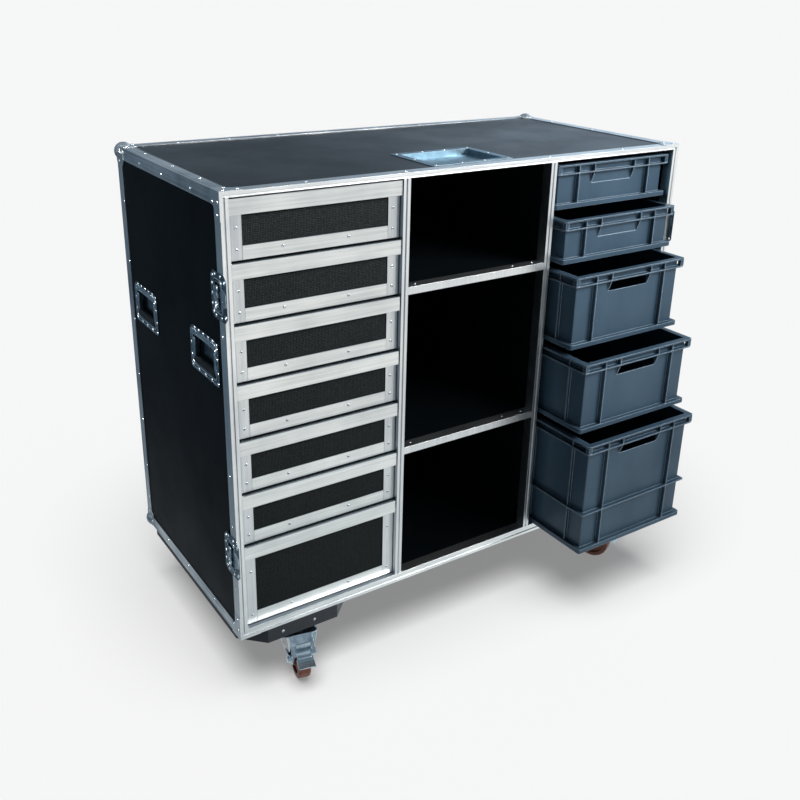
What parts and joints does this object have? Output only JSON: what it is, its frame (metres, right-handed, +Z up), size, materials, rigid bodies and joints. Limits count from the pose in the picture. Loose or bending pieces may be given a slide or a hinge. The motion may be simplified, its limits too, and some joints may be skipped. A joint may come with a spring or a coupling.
{
  "type": "road case with drawers and bins",
  "caption": "Tall open-fronted road case on castors, with a column of drawers, shelved middle bay and a stack of pull-out bins.",
  "frame": {"origin": "on the floor, below the middle of the whole object's bounding box", "axes": "+X to the right seen from the open front, +Y to the back, +Z up"},
  "size_m": [1.345, 0.83, 1.251],
  "materials": {
    "laminate": "black laminated plywood, fine grain, satin",
    "aluminium": "brushed extruded angle",
    "zinc": "bright zinc plate with a blue tint",
    "grip": "black moulded grip, semi-matt",
    "bin": "blue-grey moulded plastic, satin",
    "board": "black painted plywood, satin",
    "wheel": "red-brown hard tread, satin"
  },
  "bodies": {
    "case": {"top_panel": "laminate", "bottom_panel": "laminate", "left_side_panel": "laminate", "right_side_panel": "laminate", "back_panel": "laminate", "left_divider": "laminate", "right_divider": "laminate", "lower_shelf": "laminate", "upper_shelf": "laminate", "front_frame": "aluminium", "bay_frame": "aluminium", "edge_frame": "aluminium", "handle_dish_left_front": "zinc", "handle_dish_left_rear": "zinc", "latch_dish_left_lower": "zinc", "latch_dish_left_upper": "zinc", "handle_dish_right_front": "zinc", "handle_dish_right_rear": "zinc", "latch_dish_right_lower": "zinc", "latch_dish_right_upper": "zinc", "top_dish": "zinc", "castor_board_left": "board", "castor_board_right": "board"},
    "drawer_1": {"drawer_1_box": "laminate", "drawer_1_trim": "aluminium"},
    "drawer_2": {"drawer_2_box": "laminate", "drawer_2_trim": "aluminium"},
    "drawer_3": {"drawer_3_box": "laminate", "drawer_3_trim": "aluminium"},
    "drawer_4": {"drawer_4_box": "laminate", "drawer_4_trim": "aluminium"},
    "drawer_5": {"drawer_5_box": "laminate", "drawer_5_trim": "aluminium"},
    "drawer_6": {"drawer_6_box": "laminate", "drawer_6_trim": "aluminium"},
    "drawer_7": {"drawer_7_box": "laminate", "drawer_7_trim": "aluminium"},
    "bin_1": {"bin_1": "bin"},
    "bin_2": {"bin_2": "bin"},
    "bin_3": {"bin_3": "bin"},
    "bin_4": {"bin_4": "bin"},
    "bin_5": {"bin_5": "bin"},
    "bail_left_front": {"handle_bail_left_front": "grip"},
    "bail_left_rear": {"handle_bail_left_rear": "grip"},
    "latch_left_lower": {"latch_wing_left_lower": "zinc"},
    "latch_left_upper": {"latch_wing_left_upper": "zinc"},
    "bail_right_front": {"handle_bail_right_front": "grip"},
    "bail_right_rear": {"handle_bail_right_rear": "grip"},
    "latch_right_lower": {"latch_wing_right_lower": "zinc"},
    "latch_right_upper": {"latch_wing_right_upper": "zinc"},
    "castor_front_left": {"castor_fork_front_left": "zinc"},
    "wheel_front_left": {"castor_wheel_front_left": "wheel"},
    "pedal_left": {"brake_pedal_left": "zinc"},
    "castor_front_right": {"castor_fork_front_right": "zinc"},
    "wheel_front_right": {"castor_wheel_front_right": "wheel"},
    "pedal_right": {"brake_pedal_right": "zinc"},
    "castor_rear_left": {"castor_fork_rear_left": "zinc"},
    "wheel_rear_left": {"castor_wheel_rear_left": "wheel"},
    "castor_rear_right": {"castor_fork_rear_right": "zinc"},
    "wheel_rear_right": {"castor_wheel_rear_right": "wheel"}
  },
  "joints": [
    {"name": "drawer_1_slide", "type": "slide", "parent": "case", "child": "drawer_1", "axis": [0, -1, 0], "range_m": [0, 0.4]},
    {"name": "drawer_2_slide", "type": "slide", "parent": "case", "child": "drawer_2", "axis": [0, -1, 0], "range_m": [0, 0.4]},
    {"name": "drawer_3_slide", "type": "slide", "parent": "case", "child": "drawer_3", "axis": [0, -1, 0], "range_m": [0, 0.4]},
    {"name": "drawer_4_slide", "type": "slide", "parent": "case", "child": "drawer_4", "axis": [0, -1, 0], "range_m": [0, 0.4]},
    {"name": "drawer_5_slide", "type": "slide", "parent": "case", "child": "drawer_5", "axis": [0, -1, 0], "range_m": [0, 0.4]},
    {"name": "drawer_6_slide", "type": "slide", "parent": "case", "child": "drawer_6", "axis": [0, -1, 0], "range_m": [0, 0.4]},
    {"name": "drawer_7_slide", "type": "slide", "parent": "case", "child": "drawer_7", "axis": [0, -1, 0], "range_m": [0, 0.4]},
    {"name": "bin_1_slide", "type": "slide", "parent": "case", "child": "bin_1", "axis": [0, -1, 0], "range_m": [0, 0.45]},
    {"name": "bin_2_slide", "type": "slide", "parent": "case", "child": "bin_2", "axis": [0, -1, 0], "range_m": [-0.042, 0.408]},
    {"name": "bin_3_slide", "type": "slide", "parent": "case", "child": "bin_3", "axis": [0, -1, 0], "range_m": [-0.098, 0.352]},
    {"name": "bin_4_slide", "type": "slide", "parent": "case", "child": "bin_4", "axis": [0, -1, 0], "range_m": [-0.159, 0.291]},
    {"name": "bin_5_slide", "type": "slide", "parent": "case", "child": "bin_5", "axis": [0, -1, 0], "range_m": [-0.199, 0.251]},
    {"name": "bail_left_front_hinge", "type": "hinge", "parent": "case", "child": "bail_left_front", "pos_m": [-0.6567, -0.095, 0.878], "axis": [0, 1, 0], "range_deg": [0, 90]},
    {"name": "bail_left_rear_hinge", "type": "hinge", "parent": "case", "child": "bail_left_rear", "pos_m": [-0.6567, 0.277, 0.878], "axis": [0, 1, 0], "range_deg": [0, 90]},
    {"name": "latch_left_lower_turn", "type": "hinge", "parent": "case", "child": "latch_left_lower", "pos_m": [-0.6625, -0.194, 0.393], "axis": [-1, 0, 0], "range_deg": [0, 180]},
    {"name": "latch_left_upper_turn", "type": "hinge", "parent": "case", "child": "latch_left_upper", "pos_m": [-0.6625, -0.194, 1.02], "axis": [-1, 0, 0], "range_deg": [0, 180]},
    {"name": "bail_right_front_hinge", "type": "hinge", "parent": "case", "child": "bail_right_front", "pos_m": [0.6567, -0.095, 0.878], "axis": [0, -1, 0], "range_deg": [0, 90]},
    {"name": "bail_right_rear_hinge", "type": "hinge", "parent": "case", "child": "bail_right_rear", "pos_m": [0.6567, 0.277, 0.878], "axis": [0, -1, 0], "range_deg": [0, 90]},
    {"name": "latch_right_lower_turn", "type": "hinge", "parent": "case", "child": "latch_right_lower", "pos_m": [0.6625, -0.194, 0.393], "axis": [1, 0, 0], "range_deg": [0, 180]},
    {"name": "latch_right_upper_turn", "type": "hinge", "parent": "case", "child": "latch_right_upper", "pos_m": [0.6625, -0.194, 1.02], "axis": [1, 0, 0], "range_deg": [0, 180]},
    {"name": "castor_front_left_swivel", "type": "hinge", "parent": "case", "child": "castor_front_left", "pos_m": [-0.4945, -0.175, 0.134], "axis": [0, 0, 1], "continuous": true},
    {"name": "wheel_front_left_spin", "type": "hinge", "parent": "castor_front_left", "child": "wheel_front_left", "pos_m": [-0.50417, -0.2169, 0.05], "axis": [0.9744, -0.225, 0], "continuous": true},
    {"name": "pedal_left_hinge", "type": "hinge", "parent": "castor_front_left", "child": "pedal_left", "pos_m": [-0.50845, -0.23541, 0.1015], "axis": [-0.9744, 0.225, 0], "range_deg": [0, 6]},
    {"name": "castor_front_right_swivel", "type": "hinge", "parent": "case", "child": "castor_front_right", "pos_m": [0.4945, -0.175, 0.134], "axis": [0, 0, 1], "continuous": true},
    {"name": "wheel_front_right_spin", "type": "hinge", "parent": "castor_front_right", "child": "wheel_front_right", "pos_m": [0.51199, -0.21428, 0.05], "axis": [0.9135, 0.4067, 0], "continuous": true},
    {"name": "pedal_right_hinge", "type": "hinge", "parent": "castor_front_right", "child": "pedal_right", "pos_m": [0.51972, -0.23164, 0.1015], "axis": [-0.9135, -0.4067, 0], "range_deg": [0, 6]},
    {"name": "castor_rear_left_swivel", "type": "hinge", "parent": "case", "child": "castor_rear_left", "pos_m": [-0.4945, 0.331, 0.134], "axis": [0, 0, 1], "continuous": true},
    {"name": "wheel_rear_left_spin", "type": "hinge", "parent": "castor_rear_left", "child": "wheel_rear_left", "pos_m": [-0.51916, 0.29578, 0.05], "axis": [0.8192, -0.5736, 0], "continuous": true},
    {"name": "castor_rear_right_swivel", "type": "hinge", "parent": "case", "child": "castor_rear_right", "pos_m": [0.4945, 0.331, 0.134], "axis": [0, 0, 1], "continuous": true},
    {"name": "wheel_rear_right_spin", "type": "hinge", "parent": "castor_rear_right", "child": "wheel_rear_right", "pos_m": [0.50563, 0.28947, 0.05], "axis": [0.9659, 0.2588, 0], "continuous": true}
  ]
}
